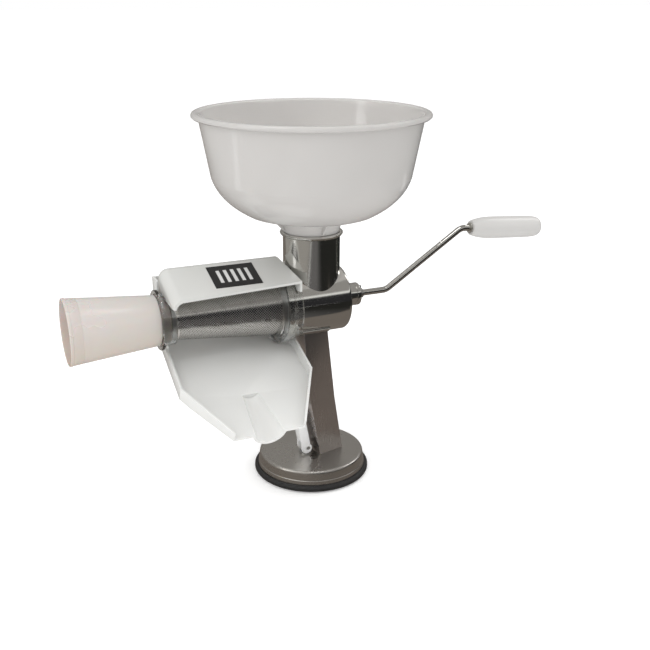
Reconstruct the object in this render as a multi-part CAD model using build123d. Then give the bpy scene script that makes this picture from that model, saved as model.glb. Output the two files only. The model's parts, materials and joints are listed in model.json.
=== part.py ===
from build123d import *
import os
from math import atan2, cos, degrees, radians, sin, tan

# Hand-cranked food mill, in millimetres.
# Origin: centre of the suction cup's underside, on the table.
# +Z is up, +X runs along the auger towards the crank, -Y is the side the juice leaves.

os.makedirs("parts", exist_ok=True)

# ---------------------------------------------------------------- general
AXIS_Z = 191.0            # height of the auger's axis
FIT_GAP = 0.3             # gap between pieces that lift or slide apart
RUN_GAP = 0.06            # radial running clearance of a shaft in its bearing
EPS = 1.0                 # how far a cutting tool runs past what it cuts
CUT_LOW_Z = AXIS_Z - 41.0   # heights between which the tall cutting tools reach
CUT_HIGH_Z = AXIS_Z + 89.0

# ---------------------------------------------------------------- base
CUP_R = 61.4              # rubber cup, widest
CUP_FOOT_R = 58.5         # flat underside
CUP_LIP_Z = 7.0           # top of the cup's visible lip
CUP_TOP_Z = 12.0          # top of the cup inside the cap
CUP_POCKET_R = 30.0       # pocket for the lifting plate
CUP_FLOOR = 5.0           # rubber left under the plate
CAP_TOP_R = 53.0
CAP_TOP_Z = 21.6
CAP_SHOULDER = 2.8        # rolled edge of the cap
CAP_SKIRT_R = 57.6
CAP_SHEET = 1.6
GROOVE_Z = 10.0           # bead line pressed into the skirt
GROOVE_DEPTH = 0.5

# ---------------------------------------------------------------- suction lever
STUD_X = -9.5
STUD_Y = -8.0
STUD_R = 3.0
STUD_HOLE_R = 3.3
PLATE_R = 14.0
PLATE_T = 2.2
WASHER_R = 7.0
WASHER_T = 1.5
CAM_R = 5.8
CAM_OFFSET = 1.6          # how far the cam's centre stands off its pin
CAM_GAP = 0.2
EYE_W = 7.0               # width of the stud's flat eye
EYE_R = 4.2
LEVER_W = 14.0
LEVER_H = 43.0            # from the pin to the lever's tip
LEVER_LEAN = 7.1          # how far the tip leans away from the leg
LEVER_ROOT = 10.0         # thickness near the cam
LEVER_TIP = 7.0           # thickness at the tip
PIN_R = 2.0
SPRING_WIRE = 0.8

# ---------------------------------------------------------------- leg
LEG_YAW = 13.6            # the foot is turned on the base
LEG_FOOT = (12.9, 0.3)    # centre of the foot
LEG_FOOT_W = 29.4
LEG_MID = (1.9, -1.0)
LEG_MID_Z = 84.0
LEG_MID_W = 31.0
LEG_TOP = (-4.0, -2.0)
LEG_TOP_Z = AXIS_Z - 19.0
LEG_TOP_W = 26.0
LEG_DEPTH = 34.0
LEG_SHEET = 2.0
SADDLE_T = 1.8
SADDLE_HALF_ANGLE = 44.0
SADDLE_LENGTH = 30.0

# ---------------------------------------------------------------- body
BODY_R = 33.5
BODY_SHEET = 2.0
BODY_OPEN_X = -37.0       # open end, under the screen's flange
BODY_CLOSED_X = 31.6      # closed end
END_PLATE_T = 3.6
COLLAR_R = 11.8
COLLAR_X = 52.2
BUSH_R = 8.5
INLET_R = 28.65
INLET_SHEET = 2.05
INLET_BEAD_Z = AXIS_Z + 71.4
INLET_BEAD_R = 31.6
INLET_BEAD_WIRE = 1.9
BAYONET_X = -26.0
BAYONET_R = 1.8
BAYONET_REACH = BODY_R + 3.7      # distance of the pin's end from the axis
BAYONET_ANGLE = 28.0      # below the horizontal on the near side

# ---------------------------------------------------------------- drive
SHAFT_R = 5.0
SHAFT_X0 = -30.0
SHAFT_X1 = 57.5
ROD_R = 3.3
ROD_X0 = 49.5             # rod's end inside the shaft
ROD_BEND_X = 86.0         # where the rod leaves the axis
ROD_ELBOW = (174.7, AXIS_Z + 58.05)
ROD_BEND_RADIUS = 14.0
GRIP_START = (186.8, AXIS_Z + 57.2)
GRIP_DROOP = 4.3          # degrees below level
GRIP_LENGTH = 88.0
GRIP_R = 11.8
GRIP_END_R = 8.25
GRIP_TAPER = 18.0
FERRULE_R = 5.6
FERRULE_LENGTH = 6.0
RIVET_AT = 74.0           # along the grip
RIVET_R = 5.4
PLUG_R = 6.0
AUGER_CORE_X0 = 12.0
AUGER_CORE_R = 17.0
AUGER_TIP_X = -148.0
AUGER_TIP_R = 7.5
AUGER_PITCH = 28.0
AUGER_BLADE = 3.0         # blade thickness
AUGER_BLADE_DEPTH = 14.0
THRUST_R = 11.0
THRUST_T = 1.6
SEAL_R = 9.5

# ---------------------------------------------------------------- screen
SCREEN_X0 = -38.0         # large end
SCREEN_R0 = 31.3
SCREEN_X1 = -151.3        # small end
SCREEN_R1 = 20.65
SCREEN_SHEET = 0.7
AUGER_R = SCREEN_R0 - 1.7         # auger blade's edge at the crank end
AUGER_END_R = SCREEN_R1 - 1.65    # and at the screen's small end
HOOP_T = 0.7
LOCK_R = BODY_R + 6.0     # flange of the clear lock ring
LOCK_X0 = -43.6
LOCK_X1 = -30.1
SLEEVE_R = BODY_R + 2.5
SLEEVE_X = -22.5
END_HUB_R = 25.2
END_HUB_X = -147.0
END_FLANGE_R = 29.5
END_FLANGE_X0 = -158.5
END_FLANGE_X1 = -161.5
SOCKET_R = 23.0
SOCKET_X = -152.0

# ---------------------------------------------------------------- waste funnel
FUNNEL_MOUTH_X = -248.0
FUNNEL_MOUTH_R = 32.2
FUNNEL_NECK_R = 24.6
FUNNEL_WALL = 1.8

# ---------------------------------------------------------------- splash guard
GUARD_TILT = 18.3
GUARD_Z = AXIS_Z + 44.2    # height of its top straight above the axis
GUARD_SHEET = 2.2
GUARD_LEFT_X = -154.6
GUARD_FRONT_LEFT_Y = -42.5
GUARD_FRONT_RIGHT_Y = -34.5
GUARD_BACK_Y = 22.0
GUARD_RIGHT_FRONT_X = -24.5
GUARD_RIGHT_BACK_X = -36.5
GUARD_BACK_RADIUS = 12.0
GUARD_LEFT_RADIUS = 10.0
GUARD_SKIRT_Z = AXIS_Z + 22.0     # lower edge of its end walls
GUARD_LIP_Z = AXIS_Z + 37.0       # lower edge of its back lip
BADGE_W = 47.0
BADGE_D = 36.0
BADGE_T = 0.4
BADGE_X = -86.3
BADGE_Y = -13.8           # along the sloping top

# ---------------------------------------------------------------- juice chute
CHUTE_SLOPE = 22.0
CHUTE_RIM_Z = AXIS_Z + 8.5 - LOCK_R   # rim's height straight below the axis
CHUTE_X = -88.0           # middle of the tray
CHUTE_DEPTH = 12.0
CHUTE_WALL = 2.2
CHUTE_HALF_TOP = 65.5
CHUTE_HALF_MID = 67.0
CHUTE_HALF_LIP = 35.0
CHUTE_MID_S = -56.0       # distances along the slope
CHUTE_CREASE_S = -70.0
CHUTE_LIP_S = -122.0
CHUTE_LIP_DEPTH = 7.0     # wall height at the lip
CHUTE_BACK_Y = LOCK_R + 4.0
CHUTE_BACK_Z = AXIS_Z + 31.0
TROUGH_START_S = -66.0
TROUGH_START_R = 9.0
TROUGH_START_RAISE = 4.0  # its start's centre above the tray's floor
TROUGH_R = 14.5
TROUGH_RAISE = 2.0        # the trough's centre above the lip's floor

# ---------------------------------------------------------------- hopper
RIM_R = 115.0
RIM_W = 8.4
RIM_H = 5.6
RIM_Z = INLET_BEAD_Z + 115.8
HOPPER_TOP_R = RIM_R - 6.3
HOPPER_SHOULDER_R = RIM_R - 17.0
HOPPER_SHOULDER_Z = INLET_BEAD_Z + 57.6
HOPPER_KNUCKLE = (RIM_R - 28.4, INLET_BEAD_Z + 37.6)
HOPPER_FLOOR = (64.4, INLET_BEAD_Z + 21.1)
HOPPER_DISH = (50.0, INLET_BEAD_Z + 17.2)
HOPPER_THROAT = (34.0, INLET_BEAD_Z + 14.9)
HOPPER_TRUMPET = (29.9, INLET_BEAD_Z + 9.1)
HOPPER_NECK_R = 28.4
HOPPER_WALL = 2.2
SPIGOT_LENGTH = 26.0
RIB_T = 2.0
RIB_OUT_R = 42.0


def x_disc(radius, x0, x1):
    """Cylinder along the auger's axis."""
    plane = Plane.YZ.offset(x0)
    return extrude(plane * Pos(0, AXIS_Z) * Circle(radius), x1 - x0)


def x_turned(points):
    """Solid turned about the auger's axis from (x, radius) points."""
    face = Plane.XZ * Pos(0, AXIS_Z) * Polygon(*points, align=None)
    return revolve(face, axis=Axis((0, 0, AXIS_Z), (1, 0, 0)))


def z_turned(points):
    """Solid turned about the upright axis from (radius, z) points."""
    return revolve(Plane.XZ * Polygon(*points, align=None), axis=Axis.Z)


def z_disc(radius, z0, z1, x=0, y=0):
    return Pos(x, y, z0) * extrude(Circle(radius), z1 - z0)


def yz_prism(points, x0, x1):
    """Prism along X from a (y, z) outline."""
    return extrude(Plane.YZ.offset(x0) * Polygon(*points, align=None), x1 - x0, dir=(1, 0, 0))


def plan_prism(points, z0, z1):
    """Upright prism from an (x, y) outline."""
    return Pos(0, 0, z0) * extrude(Polygon(*points, align=None), z1 - z0, dir=(0, 0, 1))


def coil(radius, wire, height, turns):
    """Wire spring standing on Z."""
    path = Helix(pitch=height / turns, height=height, radius=radius)
    section = Plane(origin=path @ 0, z_dir=path % 0) * Circle(wire)
    return sweep(section, path=path, is_frenet=True)


# ================================================================ base

def suction_cup():
    outline = [
        (0, 0), (CUP_FOOT_R, 0), (CUP_R, 2.2), (CUP_R, 4.4), (CUP_R - 2.2, CUP_LIP_Z),
        (CAP_SKIRT_R - CAP_SHEET - 2.5, CUP_LIP_Z), (CAP_SKIRT_R - CAP_SHEET - 2.5, CUP_TOP_Z),
        (CUP_POCKET_R, CUP_TOP_Z), (CUP_POCKET_R, CUP_FLOOR), (0, CUP_FLOOR),
    ]
    return z_turned(outline)


def base_cap():
    shoulder_r = CAP_TOP_R + CAP_SHOULDER
    shoulder_z = CAP_TOP_Z - CAP_SHOULDER
    bend = 0.293 * CAP_SHOULDER
    skirt_z = CUP_LIP_Z

    def shell_face(t):
        edge = [
            Line((0, CAP_TOP_Z - t), (CAP_TOP_R, CAP_TOP_Z - t)),
            ThreePointArc((CAP_TOP_R, CAP_TOP_Z - t),
                          (shoulder_r - bend - 0.707 * t, CAP_TOP_Z - bend - 0.707 * t),
                          (shoulder_r - t, shoulder_z)),
            Polyline((shoulder_r - t, shoulder_z), (CAP_SKIRT_R - t, skirt_z),
                     (0, skirt_z), (0, CAP_TOP_Z - t)),
        ]
        return make_face(Plane.XZ * Curve(children=edge))

    shell = revolve(shell_face(0), axis=Axis.Z) - revolve(shell_face(CAP_SHEET), axis=Axis.Z)
    groove = revolve(Plane.XZ * Pos(CAP_SKIRT_R - 0.3, GROOVE_Z) * Circle(GROOVE_DEPTH), axis=Axis.Z)
    stud_hole = z_disc(STUD_HOLE_R, 0, CAP_TOP_Z + EPS, STUD_X, STUD_Y)
    return shell - groove - stud_hole


def cam_washer():
    top = CAP_TOP_Z + WASHER_T
    return z_disc(WASHER_R, CAP_TOP_Z, top, STUD_X, STUD_Y) - z_disc(STUD_HOLE_R, 0, top + EPS, STUD_X, STUD_Y)


def pin_height():
    return CAP_TOP_Z + WASHER_T + CAM_GAP + CAM_R


def cross_pin(radius, width):
    """Cylinder along Y through the lever's pivot."""
    middle = Pos(STUD_X, STUD_Y, pin_height()) * Rot(90, 0, 0)
    return middle * Cylinder(radius, width)


def cup_plate():
    bottom = CUP_FLOOR + FIT_GAP
    return z_disc(PLATE_R, bottom, bottom + PLATE_T, STUD_X, STUD_Y)


def pull_stud():
    bottom = CUP_FLOOR + FIT_GAP + PLATE_T
    stem = z_disc(STUD_R, bottom, pin_height(), STUD_X, STUD_Y)
    return stem + cross_pin(EYE_R, EYE_W) - cross_pin(PIN_R, EYE_W + EPS)


def return_spring():
    bottom = CUP_FLOOR + FIT_GAP + PLATE_T
    top = CAP_TOP_Z - CAP_SHEET
    height = top - bottom - 2 * SPRING_WIRE - 0.1
    spring = coil(STUD_R + 2.5, SPRING_WIRE, height, 4)
    return Pos(STUD_X, STUD_Y, bottom + SPRING_WIRE + 0.05) * spring


def lever_pin():
    return cross_pin(PIN_R, LEVER_W - 1)


def suction_lever():
    z0 = pin_height()
    left = STUD_X - CAM_OFFSET - CAM_R
    outline = [
        (left, z0), (left + LEVER_ROOT, z0), (left + LEVER_ROOT - 1, z0 + 8),
        (left + LEVER_TIP + 3 - LEVER_LEAN, z0 + LEVER_H - 2),
        (left + LEVER_TIP + 1 - LEVER_LEAN, z0 + LEVER_H),
        (left + 1 - LEVER_LEAN, z0 + LEVER_H), (left - LEVER_LEAN, z0 + LEVER_H - 2),
        (left - 0.6, z0 + 8),
    ]
    arm = extrude(Plane.XZ * Polygon(*outline, align=None), LEVER_W / 2, both=True)
    cam = Rot(90, 0, 0) * Cylinder(CAM_R, LEVER_W)
    body = Pos(0, STUD_Y, 0) * arm + Pos(STUD_X - CAM_OFFSET, STUD_Y, z0) * cam
    fork = Pos(STUD_X, STUD_Y, z0) * Box(30, EYE_W + 2 * FIT_GAP, 14)
    return body - fork - cross_pin(PIN_R + RUN_GAP, LEVER_W + EPS)


# ================================================================ leg

def leg_section(centre, z, width, yaw, inset):
    place = Pos(centre[0], centre[1], z) * Rot(0, 0, yaw)
    return place * Rectangle(width - 2 * inset, LEG_DEPTH - 2 * inset)


def leg_column(inset, reach):
    sections = [
        leg_section(LEG_FOOT, CAP_TOP_Z - reach, LEG_FOOT_W, LEG_YAW, inset),
        leg_section(LEG_MID, LEG_MID_Z, LEG_MID_W, LEG_YAW, inset),
        leg_section(LEG_TOP, LEG_TOP_Z + reach, LEG_TOP_W, 0, inset),
    ]
    return loft(sections, ruled=True)


def leg():
    column = leg_column(0, 0) - leg_column(LEG_SHEET, EPS)
    return column - x_disc(BODY_R + SADDLE_T, -100, 100)


def leg_saddle():
    half = SADDLE_LENGTH / 2
    middle = LEG_TOP[0]
    shell = x_disc(BODY_R + SADDLE_T, middle - half, middle + half)
    shell -= x_disc(BODY_R, middle - half - EPS, middle + half + EPS)
    reach = 2 * BODY_R
    side = reach * tan(radians(SADDLE_HALF_ANGLE))
    wedge = yz_prism([(0, AXIS_Z), (side, AXIS_Z - reach), (-side, AXIS_Z - reach)],
                     middle - half, middle + half)
    return shell & wedge


# ================================================================ body

def body_tube():
    x1 = BODY_CLOSED_X - END_PLATE_T
    tube = x_disc(BODY_R, BODY_OPEN_X, x1)
    tube -= x_disc(BODY_R - BODY_SHEET, BODY_OPEN_X - EPS, x1 + EPS)
    return tube - z_disc(INLET_R - INLET_SHEET, AXIS_Z, INLET_BEAD_Z)


def body_end_plate():
    x0 = BODY_CLOSED_X - END_PLATE_T
    plate = x_disc(BODY_R, x0, BODY_CLOSED_X)
    plate = fillet(plate.edges().group_by(Axis.X)[-1], 2.4)
    return plate - x_disc(SHAFT_R + 0.4, x0 - EPS, BODY_CLOSED_X + EPS)


def crank_collar():
    collar = x_disc(COLLAR_R, BODY_CLOSED_X, COLLAR_X)
    collar = fillet(collar.edges().group_by(Axis.X)[-1], 1.0)
    return collar - x_disc(BUSH_R, BODY_CLOSED_X - EPS, COLLAR_X + EPS)


def shaft_bush():
    bush = x_disc(BUSH_R, BODY_CLOSED_X, COLLAR_X - 0.4)
    return bush - x_disc(SHAFT_R + RUN_GAP, BODY_CLOSED_X - EPS, COLLAR_X + EPS)


def shaft_seal():
    x1 = BODY_CLOSED_X - END_PLATE_T
    seal = x_disc(SEAL_R, x1 - 1.5, x1)
    return seal - x_disc(SHAFT_R + RUN_GAP, x1 - 3, x1 + EPS)


def inlet_pipe():
    top = INLET_BEAD_Z + 1.0
    pipe = z_disc(INLET_R, AXIS_Z, top)
    bead_centre = INLET_BEAD_R - INLET_BEAD_WIRE
    pipe += revolve(Plane.XZ * Pos(bead_centre, INLET_BEAD_Z) * Circle(INLET_BEAD_WIRE), axis=Axis.Z)
    pipe -= z_disc(INLET_R - INLET_SHEET, AXIS_Z - EPS, top + 3)
    return pipe - x_disc(BODY_R, -60, 60)


def bayonet_pins():
    shank = BAYONET_REACH - BODY_R + 0.5
    pins = Part()
    for angle in (180 + BAYONET_ANGLE, BAYONET_ANGLE):
        pin = Pos(BAYONET_X, 0, 0) * Rot(-90, 0, 0) * extrude(Circle(BAYONET_R), shank)
        pin = Rot(angle, 0, 0) * Pos(0, BAYONET_REACH - shank, 0) * pin
        pins += Pos(0, 0, AXIS_Z) * pin
    return pins - x_disc(BODY_R, BAYONET_X - 5, BAYONET_X + 5)


def tube_seal():
    x0 = SCREEN_X0 + 0.1
    ring = x_disc(BODY_R, x0, BODY_OPEN_X)
    return ring - x_disc(BODY_R - BODY_SHEET, x0 - EPS, BODY_OPEN_X + EPS)


# ================================================================ drive

def screen_radius(x):
    share = (x - SCREEN_X0) / (SCREEN_X1 - SCREEN_X0)
    return SCREEN_R0 + share * (SCREEN_R1 - SCREEN_R0)


def auger():
    """Tapered core with one helical blade, narrowing towards the screen's small end."""
    length = AUGER_CORE_X0 - AUGER_TIP_X - AUGER_BLADE
    start_r = AUGER_R - AUGER_BLADE_DEPTH / 2
    taper = degrees(atan2(AUGER_R - AUGER_END_R, length))
    helix = Helix(pitch=AUGER_PITCH, height=length, radius=start_r, cone_angle=-taper)
    section = Plane.XZ * Pos(start_r, 0) * Rectangle(AUGER_BLADE_DEPTH, AUGER_BLADE)
    blade = sweep(section, path=helix, is_frenet=True)
    blade = Pos(AUGER_CORE_X0 - AUGER_BLADE / 2, 0, AXIS_Z) * Rot(0, -90, 0) * blade
    core = x_turned([(AUGER_CORE_X0, 0), (AUGER_CORE_X0, AUGER_CORE_R),
                     (AUGER_TIP_X, AUGER_TIP_R), (AUGER_TIP_X, 0)])
    return blade + core - x_disc(SHAFT_R, SHAFT_X0, AUGER_CORE_X0 + EPS)


def auger_shaft():
    shaft = x_disc(SHAFT_R, SHAFT_X0, SHAFT_X1)
    shaft -= x_disc(ROD_R, ROD_X0, SHAFT_X1 + EPS)
    return shaft - crank_screw()


def crank_screw():
    x = SHAFT_X1 - 2.6
    shank = Pos(x, 0, AXIS_Z + ROD_R) * extrude(Circle(1.5), 5.0)
    return shank - x_disc(ROD_R, x - 5, x + 5)


def auger_spring():
    x1 = BODY_CLOSED_X - END_PLATE_T - 1.5 - 0.2 - THRUST_T
    length = x1 - AUGER_CORE_X0
    spring = coil(SHAFT_R + 2.2, SPRING_WIRE, length - 2 * SPRING_WIRE - 0.1, 3)
    return Pos(AUGER_CORE_X0 + SPRING_WIRE + 0.05, 0, AXIS_Z) * Rot(0, 90, 0) * spring


def thrust_washer():
    x1 = BODY_CLOSED_X - END_PLATE_T - 1.5 - 0.2
    washer = x_disc(THRUST_R, x1 - THRUST_T, x1)
    return washer - x_disc(SHAFT_R, x1 - THRUST_T - EPS, x1 + EPS)


def grip_point(distance, offset=0):
    """Point along the grip's axis, and above it by the offset."""
    droop = radians(GRIP_DROOP)
    x = GRIP_START[0] + distance * cos(droop) + offset * sin(droop)
    z = GRIP_START[1] - distance * sin(droop) + offset * cos(droop)
    return (x, 0, z)


def grip_turned(points):
    """Solid turned about the grip's axis from (distance, radius) points."""
    droop = radians(GRIP_DROOP)
    plane = Plane(origin=grip_point(0), x_dir=(cos(droop), 0, -sin(droop)), z_dir=(0, -1, 0))
    axis = Axis(grip_point(0), (cos(droop), 0, -sin(droop)))
    return revolve(plane * Polygon(*points, align=None), axis=axis)


def grip_disc(radius, a0, a1):
    return grip_turned([(a0, 0), (a0, radius), (a1, radius), (a1, 0)])


def crank_rod():
    path = FilletPolyline(
        (ROD_X0, 0, AXIS_Z), (ROD_BEND_X, 0, AXIS_Z), (ROD_ELBOW[0], 0, ROD_ELBOW[1]),
        grip_point(RIVET_AT), radius=ROD_BEND_RADIUS)
    return sweep(Plane(origin=path @ 0, z_dir=path % 0) * Circle(ROD_R), path=path)


def grip():
    outline = [
        (0, 0), (0, GRIP_END_R - 0.6), (0.6, GRIP_END_R), (GRIP_TAPER / 2, GRIP_END_R + 2.4),
        (GRIP_TAPER, GRIP_R - 0.5), (GRIP_TAPER + 14, GRIP_R), (GRIP_LENGTH - 22, GRIP_R),
        (GRIP_LENGTH - 8, GRIP_R - 0.5), (GRIP_LENGTH - 2.6, GRIP_R - 2.0),
        (GRIP_LENGTH - 0.7, GRIP_R - 4.0), (GRIP_LENGTH, PLUG_R + 0.2), (GRIP_LENGTH, 0),
    ]
    body = grip_turned(outline)
    body -= grip_disc(ROD_R + RUN_GAP, -EPS, GRIP_LENGTH + EPS)
    body -= grip_disc(FERRULE_R, -EPS, FERRULE_LENGTH)
    return body - grip_disc(PLUG_R, RIVET_AT - 0.5, GRIP_LENGTH + EPS)


def grip_ferrule():
    return grip_disc(FERRULE_R, -2, FERRULE_LENGTH) - grip_disc(ROD_R + RUN_GAP, -3, FERRULE_LENGTH + EPS)


def grip_rivet():
    return grip_disc(RIVET_R, RIVET_AT + 0.02, RIVET_AT + 2.5)


def grip_plug():
    return grip_disc(PLUG_R, RIVET_AT + 3.0, GRIP_LENGTH)


# ================================================================ screen

def screen():
    return x_turned([
        (SCREEN_X0, SCREEN_R0), (SCREEN_X1, SCREEN_R1),
        (SCREEN_X1, SCREEN_R1 - SCREEN_SHEET), (SCREEN_X0, SCREEN_R0 - SCREEN_SHEET),
    ])


def hoop(x0, x1, radius):
    """Band over the screen: its bore follows the cone."""
    return x_turned([(x0, screen_radius(x0)), (x1, screen_radius(x1)), (x1, radius), (x0, radius)])


def large_hoop():
    return hoop(SCREEN_X0, LOCK_X0 + 0.6, SCREEN_R0 + HOOP_T)


def small_hoop():
    return hoop(END_HUB_X - 0.4, SCREEN_X1, screen_radius(END_HUB_X) + HOOP_T / 2)


def screen_flange():
    bore = SCREEN_R0 + HOOP_T + 0.1
    ring = x_turned([
        (LOCK_X0, bore), (LOCK_X0, LOCK_R - 1), (LOCK_X0 + 1, LOCK_R), (LOCK_X1 - 1, LOCK_R),
        (LOCK_X1, LOCK_R - 1), (LOCK_X1, SLEEVE_R), (SLEEVE_X, SLEEVE_R),
        (SLEEVE_X, BODY_R + FIT_GAP), (SCREEN_X0, BODY_R + FIT_GAP), (SCREEN_X0, bore),
    ])
    slot_length = SLEEVE_X - BAYONET_X + BAYONET_R + FIT_GAP
    for angle in (180 + BAYONET_ANGLE, BAYONET_ANGLE):
        slot = Pos(SLEEVE_X - slot_length / 2, BODY_R, 0) * Box(slot_length, 12, 2 * BAYONET_R + 2 * FIT_GAP)
        ring -= Pos(0, 0, AXIS_Z) * Rot(angle, 0, 0) * slot
    return ring - z_disc(INLET_R + FIT_GAP, AXIS_Z, INLET_BEAD_Z)


def screen_end_ring():
    bore = screen_radius(END_HUB_X) + HOOP_T / 2 + 0.1
    return x_turned([
        (END_HUB_X, bore), (END_HUB_X, END_HUB_R - 0.6), (END_HUB_X - 0.6, END_HUB_R),
        (END_FLANGE_X0, END_HUB_R), (END_FLANGE_X0, END_FLANGE_R - 0.5),
        (END_FLANGE_X0 - 0.5, END_FLANGE_R), (END_FLANGE_X1 + 0.5, END_FLANGE_R),
        (END_FLANGE_X1, END_FLANGE_R - 0.5), (END_FLANGE_X1, SOCKET_R),
        (SOCKET_X, SOCKET_R), (SOCKET_X, bore),
    ])


# ================================================================ waste funnel

def waste_funnel():
    shoulder = END_FLANGE_X1 - FIT_GAP
    spigot_r = SOCKET_R - FIT_GAP
    outline = [
        (SOCKET_X - FIT_GAP, spigot_r - FUNNEL_WALL), (SOCKET_X - FIT_GAP, spigot_r),
        (shoulder, spigot_r), (shoulder, FUNNEL_NECK_R), (FUNNEL_MOUTH_X, FUNNEL_MOUTH_R),
        (FUNNEL_MOUTH_X, FUNNEL_MOUTH_R - FUNNEL_WALL),
        (shoulder - FUNNEL_WALL, spigot_r - FUNNEL_WALL),
    ]
    return x_turned(outline)


# ================================================================ splash guard

def guard_block(inset, front_y):
    """The guard's outer shape, or its hollow when inset by the sheet."""
    slope = tan(radians(GUARD_TILT))
    top = GUARD_Z - inset / cos(radians(GUARD_TILT))
    back = GUARD_BACK_Y - inset
    left = GUARD_LEFT_X + inset
    low = 190.0
    block = yz_prism([(front_y, low), (front_y, top + slope * front_y), (back, top + slope * back), (back, low)],
                     left, 0)
    back_edge = block.edges().filter_by(Axis.X).sort_by(Axis.Z)[-1]
    block = fillet(back_edge, GUARD_BACK_RADIUS - inset)
    left_edge = block.faces().sort_by(Axis.X)[0].edges().sort_by(lambda e: e.center().Z)[-2:]
    block = fillet(left_edge, GUARD_LEFT_RADIUS - inset)
    margin = 40
    run = (GUARD_RIGHT_BACK_X - GUARD_RIGHT_FRONT_X) / (GUARD_BACK_Y - GUARD_FRONT_RIGHT_Y)
    edge_x0 = GUARD_RIGHT_FRONT_X - margin * run - inset
    edge_x1 = GUARD_RIGHT_BACK_X + margin * run - inset
    beyond = plan_prism([(edge_x0, GUARD_FRONT_RIGHT_Y - margin), (edge_x1, GUARD_BACK_Y + margin),
                         (60, GUARD_BACK_Y + margin), (60, GUARD_FRONT_RIGHT_Y - margin)],
                        CUT_LOW_Z, CUT_HIGH_Z)
    return block - beyond


def splash_guard():
    front = GUARD_FRONT_LEFT_Y
    shell = guard_block(0, front) - guard_block(GUARD_SHEET, front - 20)
    front_trim = plan_prism([(GUARD_LEFT_X - 5, front), (GUARD_RIGHT_FRONT_X + 5, GUARD_FRONT_RIGHT_Y),
                             (GUARD_RIGHT_FRONT_X + 5, front - 20), (GUARD_LEFT_X - 5, front - 20)],
                            CUT_LOW_Z, CUT_HIGH_Z)
    hub_gap = END_HUB_R + FIT_GAP
    hub_top = AXIS_Z + hub_gap + 0.2
    below = yz_prism([
        (-80, 150), (-80, GUARD_SKIRT_Z), (-10, GUARD_SKIRT_Z), (0, hub_top), (12, hub_top),
        (18, GUARD_LIP_Z), (60, GUARD_LIP_Z), (60, 150)], GUARD_LEFT_X - 5, 10)
    shell -= front_trim
    shell -= below
    shell -= x_disc(hub_gap, END_FLANGE_X0, END_HUB_X + 5)
    shell -= x_disc(LOCK_R + FIT_GAP, LOCK_X0 - 1, LOCK_X1 + FIT_GAP)
    return shell - x_disc(SLEEVE_R + FIT_GAP, LOCK_X1, 20)


def guard_badge():
    tilt = radians(GUARD_TILT)
    plane = Plane(origin=(0, 0, GUARD_Z), x_dir=(1, 0, 0), z_dir=(0, -sin(tilt), cos(tilt)))
    return extrude(plane * Pos(BADGE_X, BADGE_Y) * RectangleRounded(BADGE_W, BADGE_D, 0.8), BADGE_T)


# ================================================================ juice chute

def chute_plane():
    slope = radians(CHUTE_SLOPE)
    return Plane(origin=(CHUTE_X, 0, CHUTE_RIM_Z), x_dir=(1, 0, 0), z_dir=(0, -sin(slope), cos(slope)))


def below_floor(drop):
    """Everything under the tray's floor, lowered by the drop; the floor flattens past its crease."""
    back_s = 100
    reach = 30
    rise = (CHUTE_DEPTH - CHUTE_LIP_DEPTH) / (CHUTE_CREASE_S - CHUTE_LIP_S)
    end_s = CHUTE_LIP_S - reach
    end_n = -CHUTE_DEPTH - drop + rise * (CHUTE_CREASE_S - end_s)
    side = Polygon((back_s, -CHUTE_DEPTH - drop), (CHUTE_CREASE_S, -CHUTE_DEPTH - drop), (end_s, end_n),
                   (end_s, -100), (back_s, -100), align=None)
    return extrude(Plane.YZ * side, 100, both=True)


def trough(wall):
    """Half-round channel that starts at the crease and deepens towards the lip."""
    end_s = CHUTE_LIP_S - 0.5 if wall == 0 else CHUTE_LIP_S
    start_centre = -CHUTE_DEPTH + TROUGH_START_RAISE
    start_s = TROUGH_START_S + wall
    start = Plane.XZ.offset(-start_s) * Pos(0, start_centre) * Circle(TROUGH_START_R + wall)
    end_centre = -CHUTE_LIP_DEPTH + TROUGH_RAISE
    end = Plane.XZ.offset(-end_s) * Pos(0, end_centre) * Circle(TROUGH_R + wall)
    return loft([start, end])


def chute_tray():
    """Sloping tray with walls on both sides, an open lip and a spout trough."""
    back_s = CHUTE_BACK_Y / cos(radians(CHUTE_SLOPE)) + 8
    deep = 60
    outline = Polygon(
        (-CHUTE_HALF_TOP, back_s), (-CHUTE_HALF_MID, CHUTE_MID_S), (-CHUTE_HALF_LIP, CHUTE_LIP_S),
        (CHUTE_HALF_LIP, CHUTE_LIP_S), (CHUTE_HALF_MID, CHUTE_MID_S), (CHUTE_HALF_TOP, back_s),
        align=None)
    inner = offset(outline, -CHUTE_WALL, kind=Kind.INTERSECTION)
    lip_gap = Pos(0, CHUTE_LIP_S) * Rectangle(2 * (CHUTE_HALF_LIP - 1.2), 6)
    hollow = extrude(inner, deep, dir=(0, 0, -1)) + extrude(lip_gap, deep, dir=(0, 0, -1))
    hollow -= below_floor(0)
    tray = extrude(outline, deep, dir=(0, 0, -1)) - below_floor(CHUTE_WALL)
    above_lip = Box(100, 200, 60, align=(Align.CENTER, Align.CENTER, Align.MIN))
    spout = trough(CHUTE_WALL) - Pos(0, CHUTE_LIP_S, 0) * above_lip
    tray = tray + spout - hollow - trough(0)
    behind = Box(400, 100, 400, align=(Align.CENTER, Align.MIN, Align.CENTER))
    return chute_plane() * tray - Pos(0, CHUTE_BACK_Y - CHUTE_WALL, AXIS_Z) * behind


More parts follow.
